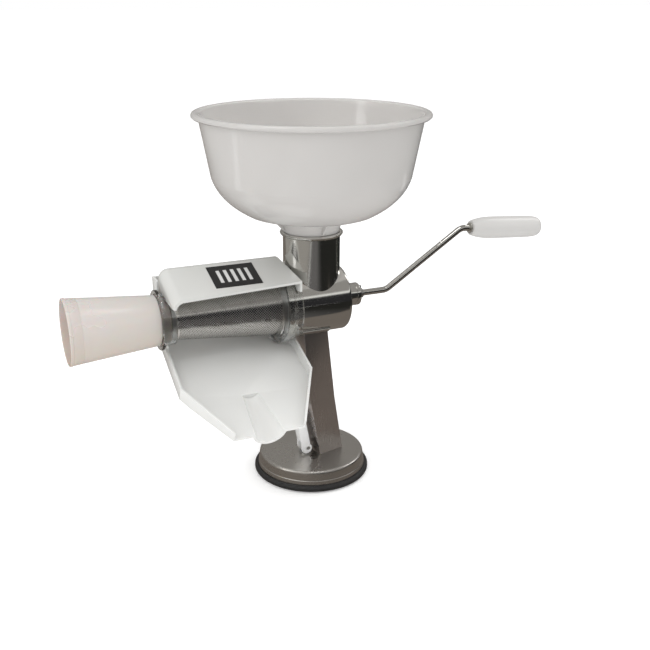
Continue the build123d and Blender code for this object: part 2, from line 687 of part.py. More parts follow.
def chute_cradle():
    """Back wall and the two raised cheeks that hold the rings."""
    floor_z = CHUTE_RIM_Z - CHUTE_DEPTH / cos(radians(CHUTE_SLOPE))
    slope = tan(radians(CHUTE_SLOPE))
    left = CHUTE_X - CHUTE_HALF_TOP
    right = CHUTE_X + CHUTE_HALF_TOP
    y0 = CHUTE_BACK_Y - CHUTE_WALL
    back_floor = floor_z + slope * y0 - CHUTE_WALL
    back = yz_prism([(y0, back_floor), (CHUTE_BACK_Y, back_floor), (CHUTE_BACK_Y, CHUTE_BACK_Z),
                     (y0, CHUTE_BACK_Z)], left, right)
    cradle = back
    for x0, radius in ((left, END_HUB_R), (right - CHUTE_WALL, SLEEVE_R)):
        cheek = yz_prism([(0, floor_z - 1), (y0 + 0.5, floor_z + slope * y0 - 1),
                          (y0 + 0.5, CHUTE_BACK_Z), (0, CHUTE_BACK_Z)], x0, x0 + CHUTE_WALL)
        gap = radius + FIT_GAP
        cheek -= x_disc(gap, x0 - EPS, x0 + CHUTE_WALL + EPS)
        cheek -= yz_prism([(-gap, AXIS_Z), (gap, AXIS_Z), (gap, CUT_HIGH_Z), (-gap, CUT_HIGH_Z)],
                          x0 - EPS, x0 + CHUTE_WALL + EPS)
        cradle += cheek
    return cradle


def juice_chute():
    return chute_tray() + chute_cradle() - x_disc(SLEEVE_R + FIT_GAP, LOCK_X1, 0)


# ================================================================ hopper

def neck_height():
    return INLET_BEAD_Z + INLET_BEAD_WIRE + FIT_GAP


def hopper_half(inset):
    """Half of the bowl's outline, moved inwards by the inset along its normals."""
    def inside(point, slant):
        return (point[0] - inset * cos(radians(slant)), point[1] + inset * sin(radians(slant)))

    neck = inside((HOPPER_NECK_R, neck_height()), 0)
    trumpet = inside(HOPPER_TRUMPET, 25)
    throat = inside(HOPPER_THROAT, 70)
    dish = inside(HOPPER_DISH, 80)
    floor = inside(HOPPER_FLOOR, 68)
    knuckle = inside(HOPPER_KNUCKLE, 42)
    shoulder = inside((HOPPER_SHOULDER_R, HOPPER_SHOULDER_Z), 14)
    top = inside((HOPPER_TOP_R, RIM_Z), 0)
    edges = [
        Line((0, neck[1]), neck),
        ThreePointArc(neck, trumpet, throat),
        ThreePointArc(throat, dish, floor),
        ThreePointArc(floor, knuckle, shoulder),
        Polyline(shoulder, top, (0, top[1]), (0, neck[1])),
    ]
    return revolve(Plane.XZ * make_face(Curve(children=edges)), axis=Axis.Z)


def hopper():
    neck_z = neck_height()
    rim = Plane.XZ * Pos(RIM_R - RIM_W / 2, RIM_Z) * RectangleRounded(RIM_W, RIM_H, RIM_H / 2 - 0.2)
    bowl = hopper_half(0) + revolve(rim, axis=Axis.Z)
    for angle in (0, 90, 180, 270):
        web = Polygon((HOPPER_NECK_R - 1, neck_z + 1), (HOPPER_NECK_R + 1, neck_z + 1),
                      (RIB_OUT_R, HOPPER_DISH[1]), (HOPPER_NECK_R - 1, HOPPER_DISH[1]), align=None)
        bowl += Rot(0, 0, angle) * extrude(Plane.XZ * web, RIB_T / 2, both=True)
    bowl -= hopper_half(HOPPER_WALL)
    bowl -= z_disc(HOPPER_TOP_R - HOPPER_WALL, RIM_Z - EPS, RIM_Z + RIM_H)
    spigot_r = INLET_R - INLET_SHEET - FIT_GAP - 0.1
    bore = spigot_r - HOPPER_WALL
    bowl -= z_disc(bore, neck_z - EPS, neck_z + 8)
    bowl += z_turned([
        (bore, neck_z - SPIGOT_LENGTH), (spigot_r, neck_z - SPIGOT_LENGTH), (spigot_r, neck_z),
        (HOPPER_NECK_R - 0.8, neck_z), (HOPPER_NECK_R - 0.8, neck_z + 5), (bore, neck_z + 5),
    ])
    return bowl


PIECES = {
    "suction_cup": suction_cup,
    "base_cap": base_cap,
    "cam_washer": cam_washer,
    "cup_plate": cup_plate,
    "pull_stud": pull_stud,
    "return_spring": return_spring,
    "lever_pin": lever_pin,
    "suction_lever": suction_lever,
    "leg": leg,
    "leg_saddle": leg_saddle,
    "body_tube": body_tube,
    "body_end_plate": body_end_plate,
    "crank_collar": crank_collar,
    "shaft_bush": shaft_bush,
    "shaft_seal": shaft_seal,
    "inlet_pipe": inlet_pipe,
    "bayonet_pins": bayonet_pins,
    "tube_seal": tube_seal,
    "auger": auger,
    "auger_shaft": auger_shaft,
    "auger_spring": auger_spring,
    "thrust_washer": thrust_washer,
    "crank_rod": crank_rod,
    "crank_screw": crank_screw,
    "grip": grip,
    "grip_ferrule": grip_ferrule,
    "grip_rivet": grip_rivet,
    "grip_plug": grip_plug,
    "screen": screen,
    "large_hoop": large_hoop,
    "small_hoop": small_hoop,
    "screen_flange": screen_flange,
    "screen_end_ring": screen_end_ring,
    "waste_funnel": waste_funnel,
    "splash_guard": splash_guard,
    "guard_badge": guard_badge,
    "juice_chute": juice_chute,
    "hopper": hopper,
}

for name, make in PIECES.items():
    shape = make()
    export_step(shape, f"parts/{name}.step")
    box = shape.bounding_box()
    print(f"{name:16s} solids {len(shape.solids())}  volume {shape.volume:10.1f}",
          f" min ({box.min.X:.1f}, {box.min.Y:.1f}, {box.min.Z:.1f})",
          f" max ({box.max.X:.1f}, {box.max.Y:.1f}, {box.max.Z:.1f})")
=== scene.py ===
# %% [markdown]
# # A hand-cranked food mill
# A bowl feeds fruit to a screw, the screw squeezes it through a perforated cone,
# juice runs down a white tray and the skins leave through a milky funnel.
# The frame holds the engineering solids, in metres, with +Z up and +X towards the crank.

# %% Load the frame
import bpy
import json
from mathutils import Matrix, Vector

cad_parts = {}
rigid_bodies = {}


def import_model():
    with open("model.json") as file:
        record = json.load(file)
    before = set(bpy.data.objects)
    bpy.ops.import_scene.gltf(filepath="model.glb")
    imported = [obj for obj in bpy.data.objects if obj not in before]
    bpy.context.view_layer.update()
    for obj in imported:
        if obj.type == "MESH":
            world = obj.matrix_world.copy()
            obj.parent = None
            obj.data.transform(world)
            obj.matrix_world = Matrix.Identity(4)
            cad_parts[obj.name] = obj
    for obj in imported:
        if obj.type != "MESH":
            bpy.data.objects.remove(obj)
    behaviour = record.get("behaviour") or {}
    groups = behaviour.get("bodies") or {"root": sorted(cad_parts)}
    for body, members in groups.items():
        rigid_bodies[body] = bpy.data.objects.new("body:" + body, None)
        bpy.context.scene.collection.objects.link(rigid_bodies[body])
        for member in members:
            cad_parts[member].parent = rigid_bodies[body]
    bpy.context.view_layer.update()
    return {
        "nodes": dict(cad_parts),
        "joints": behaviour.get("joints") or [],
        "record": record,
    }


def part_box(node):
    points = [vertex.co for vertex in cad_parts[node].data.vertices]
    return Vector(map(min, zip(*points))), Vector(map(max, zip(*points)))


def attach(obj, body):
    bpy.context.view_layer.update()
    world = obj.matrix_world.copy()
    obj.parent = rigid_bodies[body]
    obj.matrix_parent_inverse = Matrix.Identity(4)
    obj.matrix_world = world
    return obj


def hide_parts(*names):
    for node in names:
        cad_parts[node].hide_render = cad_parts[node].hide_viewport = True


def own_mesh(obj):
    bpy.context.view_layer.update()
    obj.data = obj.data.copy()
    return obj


for leftover in list(bpy.data.objects):
    bpy.data.objects.remove(leftover)
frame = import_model()

import json
from math import atan2, cos, pi, radians, sin, sqrt, tan
from mathutils import Vector

MM = 0.001
nodes = frame["nodes"]
record = frame["record"]
body_of_node = {n: body for body, names in record["behaviour"]["bodies"].items() for n in names}
slot_of_node = {part["node"]: part["material_slot"] for part in record["subparts"]}


# %% [markdown]
# ## Reading sizes off the frame
# Every piece sits exactly where its solid sits, so its length, radius and centre come from the
# solid's box. Working in millimetres keeps the numbers readable; they turn into metres at the end.

# %% Boxes in millimetres
class Box:
    def __init__(self, node):
        low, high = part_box(node)
        self.x0, self.y0, self.z0 = (value / MM for value in low)
        self.x1, self.y1, self.z1 = (value / MM for value in high)
        self.cx, self.cy, self.cz = ((a + b) / 2 / MM for a, b in zip(low, high))


axis_z = Box("body_end_plate").cz
print("auger axis height", round(axis_z, 2))


# %% [markdown]
# ## Turning on a lathe
# Most pieces of this mill are round. A single point is drawn out into a profile with extrude and
# the profile is spun about its axis. Corners of the profile are rounded first, because a moulded
# or rolled edge always catches a thin highlight.

# %% Profile and lathe
def rounded(corners, closed=True, segments=5):
    """(along, radius[, fillet]) corners in mm; each fillet becomes a short arc."""
    path = []
    count = len(corners)
    for index, corner in enumerate(corners):
        here = Vector(corner[:2])
        fillet = corner[2] if len(corner) > 2 else 0
        if not fillet or (not closed and index in (0, count - 1)):
            path.append(here)
            continue
        before = Vector(corners[index - 1][:2]) - here
        after = Vector(corners[(index + 1) % count][:2]) - here
        half = before.angle(after) / 2
        reach = min(fillet / tan(half), before.length * 0.49, after.length * 0.49)
        start = here + before.normalized() * reach
        end = here + after.normalized() * reach
        for step in range(segments + 1):
            t = step / segments
            path.append(start * (1 - t) ** 2 + here * 2 * t * (1 - t) + end * t ** 2)
    if closed:
        path.append(path[0].copy())
    return [(point.x, point.y) for point in path]


def arc(start, middle, end, segments=10):
    """Points of a smooth bow from start to end through the middle, in mm."""
    a, m, b = Vector(start), Vector(middle), Vector(end)
    pull = m * 2 - (a + b) / 2
    points = []
    for step in range(segments + 1):
        t = step / segments
        point = a * (1 - t) ** 2 + pull * 2 * t * (1 - t) + b * t ** 2
        points.append((point.x, point.y))
    return points


def deselect():
    if bpy.context.mode != "OBJECT":
        bpy.ops.object.mode_set(mode="OBJECT")
    bpy.ops.object.select_all(action="DESELECT")


def tidy_mesh(piece, angle=35, recalculate=True):
    """Merges doubles, faces the surface outwards, places the mesh and smooths it."""
    bpy.context.view_layer.objects.active = piece
    piece.select_set(True)
    bpy.ops.object.mode_set(mode="EDIT")
    bpy.ops.mesh.select_all(action="SELECT")
    bpy.ops.mesh.remove_doubles(threshold=2e-6)
    if recalculate:
        bpy.ops.mesh.normals_make_consistent(inside=False)
    bpy.ops.object.mode_set(mode="OBJECT")
    bpy.ops.object.transform_apply(location=True, rotation=True, scale=True)
    bpy.ops.object.shade_smooth_by_angle(angle=radians(angle))
    return piece


def turned(name, profile, origin, axis=(0, 0, 1), out=(1, 0, 0), steps=96):
    """A solid of revolution: profile holds (along the axis, radius) points in mm."""
    deselect()
    centre, axis, out = Vector(origin) * MM, Vector(axis), Vector(out)
    points = [centre + (axis * along + out * radius) * MM for along, radius in profile]
    bpy.ops.mesh.primitive_plane_add(size=0.001, location=points[0])
    piece = bpy.context.active_object
    piece.name = name
    bpy.ops.object.mode_set(mode="EDIT")
    bpy.ops.mesh.select_mode(type="VERT")
    bpy.ops.mesh.select_all(action="SELECT")
    bpy.ops.mesh.merge(type="CENTER")
    for here, there in zip(points, points[1:]):
        bpy.ops.mesh.extrude_region_move(TRANSFORM_OT_translate={"value": there - here})
    bpy.ops.mesh.select_all(action="SELECT")
    bpy.ops.mesh.spin(steps=steps, angle=2 * pi, center=centre, axis=axis)
    bpy.ops.object.mode_set(mode="OBJECT")
    return tidy_mesh(piece)


def along_auger(name, profile, steps=128):
    """A piece turned about the auger's axis: profile holds (x, radius) in mm."""
    return turned(name, profile, (0, 0, axis_z), axis=(1, 0, 0), out=(0, 0, 1), steps=steps)


# %% [markdown]
# ## Softening a solid
# Folded and moulded pieces already have the right faces. A copy of the solid is merged, its flat
# faces are joined up, and a narrow bevel gives every edge the small radius that a real one has.

# %% Copy, merge and bevel
def apply_modifier(piece, kind, **settings):
    bpy.context.view_layer.objects.active = piece
    modifier = piece.modifiers.new(kind.title(), kind)
    for key, value in settings.items():
        setattr(modifier, key, value)
    bpy.ops.object.modifier_apply(modifier=modifier.name)


def softened(name, node, width=0.5, segments=3, angle=30, smooth=35):
    deselect()
    source = nodes[node]
    source.select_set(True)
    bpy.context.view_layer.objects.active = source
    bpy.ops.object.duplicate()
    piece = bpy.context.active_object
    bpy.ops.object.parent_clear(type="CLEAR_KEEP_TRANSFORM")
    piece.name = name
    bpy.ops.mesh.customdata_custom_splitnormals_clear()
    bpy.ops.object.mode_set(mode="EDIT")
    bpy.ops.mesh.select_all(action="SELECT")
    bpy.ops.mesh.remove_doubles(threshold=2e-6)
    bpy.ops.mesh.dissolve_limited(angle_limit=radians(0.6))
    bpy.ops.object.mode_set(mode="OBJECT")
    if width:
        apply_modifier(piece, "BEVEL", width=width * MM, segments=segments, limit_method="ANGLE",
                       angle_limit=radians(angle), harden_normals=False, miter_outer="MITER_ARC")
    bpy.ops.object.shade_smooth_by_angle(angle=radians(smooth))
    return piece


def drill(piece, radius, start, end):
    """Cuts a round hole from one point to the other, in mm."""
    a, b = Vector(start) * MM, Vector(end) * MM
    deselect()
    bpy.ops.mesh.primitive_cylinder_add(vertices=96, radius=radius * MM, depth=(b - a).length,
                                        location=(a + b) / 2,
                                        rotation=(b - a).to_track_quat("Z", "Y").to_euler())
    cutter = bpy.context.active_object
    apply_modifier(piece, "BOOLEAN", operation="DIFFERENCE", object=cutter, solver="EXACT")
    bpy.data.objects.remove(cutter, do_unlink=True)
    deselect()
    piece.select_set(True)
    bpy.context.view_layer.objects.active = piece
    bpy.ops.object.shade_smooth_by_angle(angle=radians(30))


# %% [markdown]
# ## Hanging pieces on the moving bodies
# A piece that replaces a solid rides on the same body and takes the same finish slot, so it moves
# and can be recoloured as the solid would.

# %% Settle a piece
finished = []


def settle(piece, *replaced):
    first = replaced[0]
    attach(piece, body_of_node[first])
    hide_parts(*replaced)
    finished.append((piece, slot_of_node[first]))
    print(piece.name, len(piece.data.polygons), "faces")
    return piece


# %% [markdown]
# ## Shader sums as plain expressions
# A small class wraps a socket, so that `0.2 + 0.1 * grain` adds the Math nodes by itself. Colours
# go through a Mix node. A finish is then one short function that reads like a recipe.

# %% Expression helper
class Value:
    def __init__(self, finish, socket):
        self.finish, self.socket = finish, socket

    def _math(self, operation, left, right):
        maths = self.finish.node("ShaderNodeMath", {"operation": operation, "use_clamp": False},
                                 {0: left, 1: right})
        return Value(self.finish, maths.outputs[0])

    def __add__(self, other): return self._math("ADD", self, other)
    def __radd__(self, other): return self._math("ADD", other, self)
    def __sub__(self, other): return self._math("SUBTRACT", self, other)
    def __rsub__(self, other): return self._math("SUBTRACT", other, self)
    def __mul__(self, other): return self._math("MULTIPLY", self, other)
    def __rmul__(self, other): return self._math("MULTIPLY", other, self)


class Finish:
    """A material with one Principled shader and helpers that add nodes to it."""

    def __init__(self, name, **constants):
        self.material = bpy.data.materials.new(name)
        self.material.use_nodes = True
        self.tree = self.material.node_tree
        self.tree.nodes.clear()
        output = self.node("ShaderNodeOutputMaterial")
        self.shader = self.node("ShaderNodeBsdfPrincipled")
        self.tree.links.new(self.shader.outputs[0], output.inputs["Surface"])
        for key, value in constants.items():
            self.shader.inputs[key.replace("_", " ")].default_value = value

    def node(self, kind, settings=None, inputs=None):
        node = self.tree.nodes.new(kind)
        for key, value in (settings or {}).items():
            setattr(node, key, value)
        for key, value in (inputs or {}).items():
            self.feed(node.inputs[key], value)
        return node

    def feed(self, socket, value):
        if isinstance(value, Value):
            self.tree.links.new(value.socket, socket)
        else:
            socket.default_value = value

    def place(self, scale=(1, 1, 1)):
        """Object coordinates in metres, stretched for a grain that runs one way."""
        coordinates = self.node("ShaderNodeTexCoord")
        mapping = self.node("ShaderNodeMapping", {}, {"Scale": scale})
        self.tree.links.new(coordinates.outputs["Object"], mapping.inputs["Vector"])
        return Value(self, mapping.outputs[0])

    def noise(self, scale, detail=3.0, stretch=(1, 1, 1)):
        noise = self.node("ShaderNodeTexNoise", {}, {"Vector": self.place(stretch), "Scale": scale,
                                                    "Detail": detail, "Roughness": 0.55})
        return Value(self, noise.outputs["Fac"])

    def axis(self, name):
        split = self.node("ShaderNodeSeparateXYZ", {}, {0: self.place()})
        return Value(self, split.outputs[name])

    def ramp(self, value, low, high):
        """0 below low, 1 above high, smooth between."""
        node = self.node("ShaderNodeMapRange", {"interpolation_type": "SMOOTHSTEP"},
                         {"Value": value, "From Min": low, "From Max": high})
        return Value(self, node.outputs[0])

    def blend(self, factor, first, second):
        mix = self.node("ShaderNodeMix", {"data_type": "RGBA"})
        self.feed(mix.inputs["Factor"], factor)
        colours = [socket for socket in mix.inputs if socket.type == "RGBA"]
        self.feed(colours[0], first)
        self.feed(colours[1], second)
        outputs = [socket for socket in mix.outputs if socket.type == "RGBA"]
        return Value(self, outputs[0])

    def set(self, name, value):
        self.feed(self.shader.inputs[name], value)

    def bump(self, height, strength, distance):
        bump = self.node("ShaderNodeBump", {}, {"Height": height, "Strength": strength,
                                               "Distance": distance})
        self.feed(self.shader.inputs["Normal"], Value(self, bump.outputs[0]))


def tone(red, green, blue):
    return (red, green, blue, 1.0)


# %% [markdown]
# ## Plastics
# The bowl, tray and cover are injection-moulded white plastic. It is glossy but not a mirror: the
# mould leaves a faint ripple, and handling leaves the gloss a little uneven. The grip is duller.

# %% White plastics
def plastic(name, colour, shade, roughness, ripple, glow):
    finish = Finish(name, IOR=1.49, Subsurface_Weight=glow, Subsurface_Scale=0.004)
    finish.shader.inputs["Subsurface Radius"].default_value = (1.0, 0.9, 0.8)
    finish.shader.inputs["Coat Roughness"].default_value = 0.06
    cloud = finish.noise(14.0, 2.0)
    speck = finish.noise(900.0, 2.0)
    finish.set("Base Color", finish.blend(cloud, colour, shade))
    finish.set("Roughness", roughness + 0.08 * finish.noise(60.0) + 0.04 * speck)
    finish.set("Coat Weight", 0.25 + 0.2 * cloud)
    finish.bump(finish.noise(35.0, 2.0) + 0.05 * speck, ripple, 0.0006)
    return finish.material


# painted light and shade: bowl, tray, cover, lever and grip are one white plastic, but each base colour is
# set against how brightly that part is lit; the shaded tray is painted lighter, the brightly lit bowl darker
# slot: lightest and darkest colour, roughness, ripple, glow under the skin
PLASTICS = {
    "hopper_plastic": (tone(0.545, 0.53, 0.515), tone(0.50, 0.487, 0.472), 0.13, 0.07, 0.05),
    "chute_plastic": (tone(0.76, 0.765, 0.745), tone(0.72, 0.72, 0.705), 0.16, 0.08, 0.10),
    "guard_plastic": (tone(0.63, 0.635, 0.61), tone(0.60, 0.60, 0.58), 0.14, 0.06, 0.08),
    "lever_plastic": (tone(0.84, 0.84, 0.835), tone(0.80, 0.80, 0.79), 0.22, 0.10, 0.12),
    # painted shade: the auger, seen only inside the cone, is given a dark colour in place of the shade there
    "auger_plastic": (tone(0.20, 0.19, 0.18), tone(0.16, 0.15, 0.145), 0.4, 0.12, 0.0),
    "grip_plastic": (tone(0.60, 0.59, 0.575), tone(0.56, 0.55, 0.535), 0.34, 0.14, 0.08),
}
finishes = {slot: plastic(slot, *recipe) for slot, recipe in PLASTICS.items()}
print("plastics", list(finishes))


# %% [markdown]
# ## Clear and milky plastic
# The two rings are clear acrylic, so they are glass-like with a slightly worn surface. The funnel
# is natural polypropylene: light passes, but it is scattered. Its lower side is painted darker and
# warmer: painted shade.

# %% Clear rings and milky funnel
def clear_plastic():
    finish = Finish("clear_plastic", IOR=1.22, Transmission_Weight=1.0)
    haze = finish.noise(70.0, 3.0)
    finish.set("Base Color", finish.blend(haze, tone(0.93, 0.935, 0.93), tone(0.88, 0.885, 0.88)))
    finish.set("Roughness", 0.02 + 0.05 * haze)
    finish.set("Coat Weight", 0.6 + 0.3 * haze)
    finish.bump(finish.noise(90.0), 0.05, 0.0003)
    return finish.material


def milky_plastic():
    finish = Finish("milky_plastic", IOR=1.45, Transmission_Weight=0.22, Subsurface_Weight=0.25,
                    Subsurface_Scale=0.006)
    # painted shade: the funnel's colour runs darker and warmer towards its lower side, by height
    height = finish.ramp(finish.axis("Z"), (axis_z - 30) * MM, (axis_z + 22) * MM)
    cloud = finish.noise(18.0)
    body = finish.blend(height, tone(0.66, 0.59, 0.51), tone(0.70, 0.66, 0.625))
    finish.set("Base Color", finish.blend(0.3 * cloud, body, tone(0.78, 0.76, 0.735)))
    finish.set("Roughness", 0.20 + 0.12 * cloud)
    finish.bump(finish.noise(60.0), 0.06, 0.0005)
    return finish.material


finishes["clear_plastic"] = clear_plastic()
finishes["milky_plastic"] = milky_plastic()


# %% [markdown]
# ## Steels
# The body is polished, the leg is brushed along its length and the base cap has a satin turned
# surface. Grain is a noise stretched hard one way: it feeds roughness and a very small bump.

# %% Steel, rubber and the rest
def steel(name, bright, dark, roughness, grain_scale, stretch, grain, smudge=0.08):
    finish = Finish(name, Metallic=1.0)
    streak = finish.noise(grain_scale, 2.0, stretch)
    patch = finish.noise(22.0, 3.0)
    finish.set("Base Color", finish.blend(patch, bright, dark))
    finish.set("Roughness", roughness + smudge * patch + 0.10 * streak)
    finish.bump(streak, grain, 0.0002)
    return finish.material


def rubber():
    finish = Finish("rubber", IOR=1.5)
    grain = finish.noise(700.0, 3.0)
    dust = finish.noise(40.0, 4.0)
    finish.set("Base Color", finish.blend(dust, tone(0.010, 0.010, 0.011), tone(0.028, 0.027, 0.027)))
    finish.set("Roughness", 0.42 + 0.2 * dust)
    finish.bump(grain, 0.25, 0.0003)
    return finish.material


def badge_print():
    finish = Finish("badge_print", IOR=1.5)
    wear = finish.noise(80.0, 4.0)
    finish.set("Base Color", finish.blend(wear, tone(0.004, 0.004, 0.0045), tone(0.010, 0.010, 0.011)))
    finish.set("Roughness", 0.30 + 0.15 * wear)
    finish.bump(wear, 0.05, 0.0002)
    return finish.material


def badge_border():
    finish = Finish("badge_border", IOR=1.5)
    wear = finish.noise(120.0, 4.0)
    finish.set("Base Color", finish.blend(wear, tone(0.70, 0.70, 0.69), tone(0.62, 0.62, 0.61)))
    finish.set("Roughness", 0.35 + 0.15 * wear)
    return finish.material


# slot: lightest and darkest colour, roughness, grain size, stretch, grain depth[, smudges]
STEELS = {
    "polished_steel": (tone(0.74, 0.73, 0.70), tone(0.66, 0.65, 0.62),
                       0.045, 160.0, (9.0, 0.6, 0.6), 0.03, 0.04),
    "leg_steel": (tone(0.68, 0.64, 0.62), tone(0.57, 0.53, 0.515),
                  0.20, 140.0, (7.0, 7.0, 0.25), 0.10),
    "cap_steel": (tone(0.66, 0.64, 0.61), tone(0.56, 0.54, 0.51),
                  0.20, 170.0, (1.0, 1.0, 9.0), 0.08),
    "hardware_steel": (tone(0.60, 0.60, 0.59), tone(0.48, 0.48, 0.47),
                       0.25, 160.0, (1, 1, 1), 0.05),
    "spring_steel": (tone(0.42, 0.42, 0.42), tone(0.32, 0.32, 0.32),
                     0.30, 200.0, (1, 1, 1), 0.05),
    "perforated_steel": (tone(0.80, 0.78, 0.75), tone(0.70, 0.68, 0.65),
                         0.12, 160.0, (0.5, 6.0, 6.0), 0.04),
    # painted shade: near-black steel for the inside of the perforated cone and the walls of its holes
    "perforated_inside_shade": (tone(0.10, 0.095, 0.09), tone(0.07, 0.066, 0.062),
                          0.45, 160.0, (1, 1, 1), 0.04),
    "bush_bronze": (tone(0.62, 0.46, 0.26), tone(0.50, 0.36, 0.20),
                    0.30, 160.0, (1, 1, 1), 0.05),
}
finishes.update({slot: steel(slot, *recipe) for slot, recipe in STEELS.items()})
finishes.update({
    "rubber": rubber(),
    "seal_rubber": rubber(),
    "badge_print": badge_print(),
    "badge_border": badge_border(),
})
print("finishes", len(finishes))


# %% [markdown]
# ## The bowl
# The hopper is one thin moulding: a flared wall, a large rounded knuckle, an almost flat floor and
# a trumpet neck that plugs into the inlet. Its whole section is drawn once and spun.

# %% Hopper
bowl = Box("hopper")
rim_r = (bowl.x1 - bowl.x0) / 2
bead_rise = 2.8
rim_z = bowl.z1 - bead_rise
wall = 2.2
spigot_r = 26.2
neck_r = 28.4
neck_z = bowl.z0 + 26
floor_z = neck_z + 12.7
floor_r = 64.4
knuckle_r = 98.0
wall_top_r = 108.2


def bowl_side(inset):
    """Outer side of the bowl from the neck up to the rim, moved in by the inset."""
    side = arc((neck_z, neck_r - inset), (neck_z + 6.9, neck_r + 1.5 - 0.9 * inset),
               (floor_z + 0.9 * inset, neck_r + 5.6 - 0.35 * inset), 8)
    side += arc((floor_z + inset, neck_r + 8), (floor_z + 2.1 + inset, 50.0),
                (floor_z + 6.2 + 0.92 * inset, floor_r - 0.37 * inset), 8)[1:]
    side += arc((floor_z + 6.2 + 0.92 * inset, floor_r - 0.37 * inset),
                (floor_z + 22.7 + 0.67 * inset, 86.6 - 0.74 * inset),
                (floor_z + 42.7 + 0.2 * inset, knuckle_r - 0.97 * inset), 16)[1:]
    side += [(rim_z - 22, 104.65 - inset), (rim_z - 3, wall_top_r - inset)]
    return side


bead = [(rim_z - 2.6, 109.2), (rim_z - 2.75, 111.0), (rim_z - 2.3, 113.4), (rim_z - 1.0, 114.8),
        (rim_z + 0.4, rim_r), (rim_z + 1.9, 114.2), (rim_z + 2.7, 112.6), (rim_z + bead_rise, 110.6),
        (rim_z + 2.5, 108.4), (rim_z + 1.4, 106.9), (rim_z - 0.6, 106.3)]
inner_side = bowl_side(wall)[::-1]
outline = [(bowl.z0, spigot_r - 1.9), (bowl.z0, spigot_r - 0.4), (bowl.z0 + 0.4, spigot_r),
           (neck_z, spigot_r), (neck_z, neck_r - 0.3), *bowl_side(0), *bead, *inner_side,
           (neck_z + 5, spigot_r - 2.2), (bowl.z0, spigot_r - 1.9)]
hopper = settle(turned("hopper_bowl", outline, (bowl.cx, bowl.cy, 0), steps=160), "hopper")

# %% [markdown]
# ### Ribs under the bowl
# Four thin webs brace the neck. Each is a slim box whose lower outer edge is drawn in, and the four
# are joined into one piece.

# %% Neck ribs
def neck_rib(angle):
    deselect()
    inner, outer, low, high = neck_r - 0.6, 42.0, neck_z + 1.0, floor_z + 2.0
    bpy.ops.mesh.primitive_cube_add(size=1, location=((inner + outer) / 2 * MM, 0, (low + high) / 2 * MM))
    rib = bpy.context.active_object
    rib.scale = ((outer - inner) * MM, 2.0 * MM, (high - low) * MM)
    bpy.ops.object.transform_apply(location=True, rotation=True, scale=True)
    for vertex in rib.data.vertices:
        if vertex.co.x > (inner + outer) / 2 * MM:
            if vertex.co.z < (low + high) / 2 * MM:
                vertex.co.x = (inner + 1.8) * MM
    apply_modifier(rib, "BEVEL", width=0.4 * MM, segments=2)
    rib.rotation_euler = (0, 0, angle)
    bpy.ops.object.transform_apply(location=True, rotation=True, scale=True)
    return rib


ribs = [neck_rib(radians(angle)) for angle in (0, 90, 180, 270)]
deselect()
for rib in ribs:
    rib.select_set(True)
bpy.context.view_layer.objects.active = ribs[0]
bpy.ops.object.join()
ribs = bpy.context.active_object
ribs.name = "hopper_ribs"
bpy.ops.object.shade_smooth_by_angle(angle=radians(35))
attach(ribs, body_of_node["hopper"])
finished.append((ribs, "hopper_plastic"))


# %% [markdown]
# ## Inlet and body
# The inlet is a rolled tube whose foot is cut to sit on the body. The lathe makes a straight tube,
# and each point of its lowest ring is then dropped onto the body's curve.

# %% Inlet pipe
pipe = Box("inlet_pipe")
tube = Box("body_tube")
plate = Box("body_end_plate")
body_r = (tube.y1 - tube.y0) / 2
bead_r = (pipe.x1 - pipe.x0) / 2
pipe_r = 28.65
top = pipe.z1
roll = [(top - 4.4, pipe_r), (top - 4.0, pipe_r + 0.6), (top - 3.4, pipe_r + 2.0), (top - 2.2, bead_r - 0.2),
        (top - 1.6, bead_r), (top - 0.8, bead_r - 0.35), (top - 0.15, bead_r - 1.3), (top, bead_r - 2.3),
        (top - 0.3, pipe_r - 0.9), (top - 1.4, pipe_r - 1.9)]
foot = pipe.z0
profile = [(foot, pipe_r), (foot + 20, pipe_r), *roll,
           (foot + 20, pipe_r - 2.0), (foot, pipe_r - 2.0), (foot, pipe_r)]
inlet = turned("inlet_tube", profile, (pipe.cx, pipe.cy, 0), steps=144)
for vertex in inlet.data.vertices:
    if vertex.co.z < (foot + 1) * MM:
        vertex.co.z = axis_z * MM + sqrt((body_r * MM) ** 2 - vertex.co.y ** 2) - 0.05 * MM
settle(inlet, "inlet_pipe")

# %% [markdown]
# The body is a deep-drawn cup: a tube and its closed end with a rounded corner. It is turned in one
# go, then the throat under the inlet is drilled through.

# %% Body
sheet = 2.0
shaft_hole_r = 5.5
cup = rounded([(tube.x0, body_r - sheet, 0.4), (tube.x0, body_r, 0.6), (plate.x1, body_r, 3.2),
               (plate.x1, shaft_hole_r, 0.3), (plate.x0, shaft_hole_r, 0.3),
               (plate.x0, body_r - sheet, 1.5)], segments=6)
body = along_auger("body_shell", cup)
drill(body, pipe_r - 2.05, (0, 0, axis_z), (0, 0, axis_z + 60))
settle(body, "body_tube", "body_end_plate")

collar_box = Box("crank_collar")
collar_r = (collar_box.y1 - collar_box.y0) / 2
bush_r = 8.5
collar = along_auger("crank_boss", rounded([
    (collar_box.x0, bush_r), (collar_box.x0, collar_r), (collar_box.x1 - 5, collar_r, 0.2),
    (collar_box.x1 - 4.6, collar_r - 0.5, 0.2), (collar_box.x1 - 4.2, collar_r, 0.2),
    (collar_box.x1, collar_r, 1.2), (collar_box.x1, bush_r, 0.4)]), steps=96)
settle(collar, "crank_collar")

# %% [markdown]
# The bayonet pins and the saddle under the body are small welded pieces: their solids are copied
# and given a fine bevel.

# %% Pins and saddle
settle(softened("bayonet_studs", "bayonet_pins", 0.3), "bayonet_pins")
settle(softened("body_saddle", "leg_saddle", 0.3), "leg_saddle")


